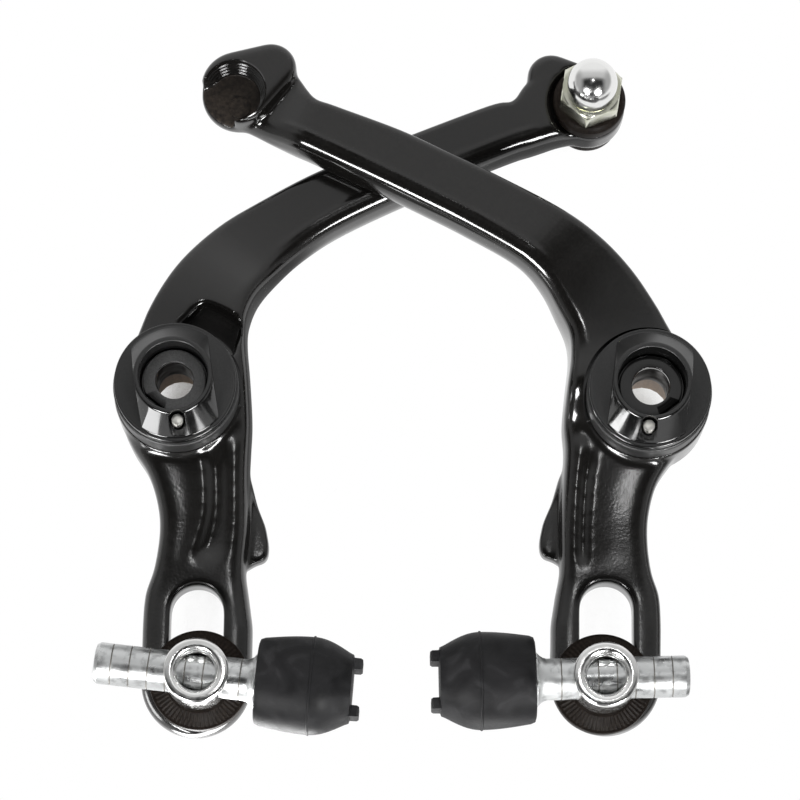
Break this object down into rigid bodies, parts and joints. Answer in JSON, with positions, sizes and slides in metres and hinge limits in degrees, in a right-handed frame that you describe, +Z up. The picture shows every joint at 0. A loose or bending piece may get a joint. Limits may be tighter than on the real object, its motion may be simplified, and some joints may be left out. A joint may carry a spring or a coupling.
{
  "type": "u brake",
  "caption": "Bicycle U-brake: two cast arms that cross like scissors on frame studs, with spring adjusters, a cable anchor and rubber pads on sliding posts.",
  "frame": {"origin": "midway between the two pivot axes, on the plane where the pivot sleeves seat on the frame", "axes": "+X to the right seen from the front, +Y away from the viewer towards the frame along the pivot axes, +Z up"},
  "size_m": [0.1032, 0.031, 0.1216],
  "materials": {
    "black_paint": "cast, gloss black paint",
    "black_plastic": "moulded black",
    "chrome": "polished plating",
    "zinc": "bright zinc plate",
    "steel": "bright",
    "black_steel": "black oxide",
    "bronze": "plain bearing bronze",
    "rubber": "moulded"
  },
  "bodies": {
    "frame_seats": {"pivot_sleeve_left": "bronze", "pivot_sleeve_right": "bronze", "pivot_washer_left": "steel", "pivot_washer_right": "steel"},
    "arm_left": {"arm_left": "black_paint", "bearing_bush_left": "bronze", "spring_cover_left": "black_plastic", "anchor_bolt": "zinc", "pinch_washer": "black_steel", "acorn_nut": "chrome"},
    "adjuster_left": {"adjuster_nut_left": "black_plastic", "bolt_bush_left": "steel", "seat_washer_left": "black_steel", "return_spring_left": "steel"},
    "clamp_left": {"serrated_washer_left": "black_steel", "rear_washer_left": "steel"},
    "eye_left": {"eye_bolt_left": "chrome", "rear_nut_left": "zinc"},
    "pad_left": {"pad_post_left": "steel", "pad_plate_left": "steel", "pad_rubber_left": "rubber"},
    "arm_right": {"arm_right": "black_paint", "bearing_bush_right": "bronze", "spring_cover_right": "black_plastic"},
    "adjuster_right": {"adjuster_nut_right": "black_plastic", "bolt_bush_right": "steel", "seat_washer_right": "black_steel", "return_spring_right": "steel"},
    "clamp_right": {"serrated_washer_right": "black_steel", "rear_washer_right": "steel"},
    "eye_right": {"eye_bolt_right": "chrome", "rear_nut_right": "zinc"},
    "pad_right": {"pad_post_right": "steel", "pad_plate_right": "steel", "pad_rubber_right": "rubber"}
  },
  "joints": [
    {"name": "arm_left_swing", "type": "hinge", "parent": "frame_seats", "child": "arm_left", "pos_m": [-0.04, 0, 0], "axis": [0, -1, 0], "range_deg": [-10, 5.5], "stiffness_Nm_per_rad": 1.3, "deforming": ["return_spring_left"]},
    {"name": "adjuster_left_turn", "type": "hinge", "parent": "frame_seats", "child": "adjuster_left", "pos_m": [-0.04, 0, 0], "axis": [0, -1, 0], "range_deg": [-15, 45], "deforming": ["return_spring_left"]},
    {"name": "pad_left_height", "type": "slide", "parent": "arm_left", "child": "clamp_left", "axis": [0, 0, 1], "range_m": [-0.0015, 0.0095]},
    {"name": "pad_left_angle", "type": "hinge", "parent": "clamp_left", "child": "eye_left", "pos_m": [-0.03505, -0.01805, -0.0493], "axis": [0, -1, 0], "range_deg": [-12, 12]},
    {"name": "pad_left_reach", "type": "slide", "parent": "eye_left", "child": "pad_left", "axis": [-0.9945, 0, 0.1045], "range_m": [-0.005, 0.001]},
    {"name": "arm_right_swing", "type": "hinge", "parent": "frame_seats", "child": "arm_right", "pos_m": [0.04, 0, 0], "axis": [0, 1, 0], "range_deg": [-10, 5.5], "stiffness_Nm_per_rad": 1.3, "deforming": ["return_spring_right"]},
    {"name": "adjuster_right_turn", "type": "hinge", "parent": "frame_seats", "child": "adjuster_right", "pos_m": [0.04, 0, 0], "axis": [0, 1, 0], "range_deg": [-15, 45], "deforming": ["return_spring_right"]},
    {"name": "pad_right_height", "type": "slide", "parent": "arm_right", "child": "clamp_right", "axis": [0, 0, 1], "range_m": [-0.0008, 0.0095]},
    {"name": "pad_right_angle", "type": "hinge", "parent": "clamp_right", "child": "eye_right", "pos_m": [0.0323, -0.01805, -0.0491], "axis": [0, 1, 0], "range_deg": [-12, 12]},
    {"name": "pad_right_reach", "type": "slide", "parent": "eye_right", "child": "pad_right", "axis": [0.9994, 0, 0.0349], "range_m": [-0.005, 0.002]}
  ]
}
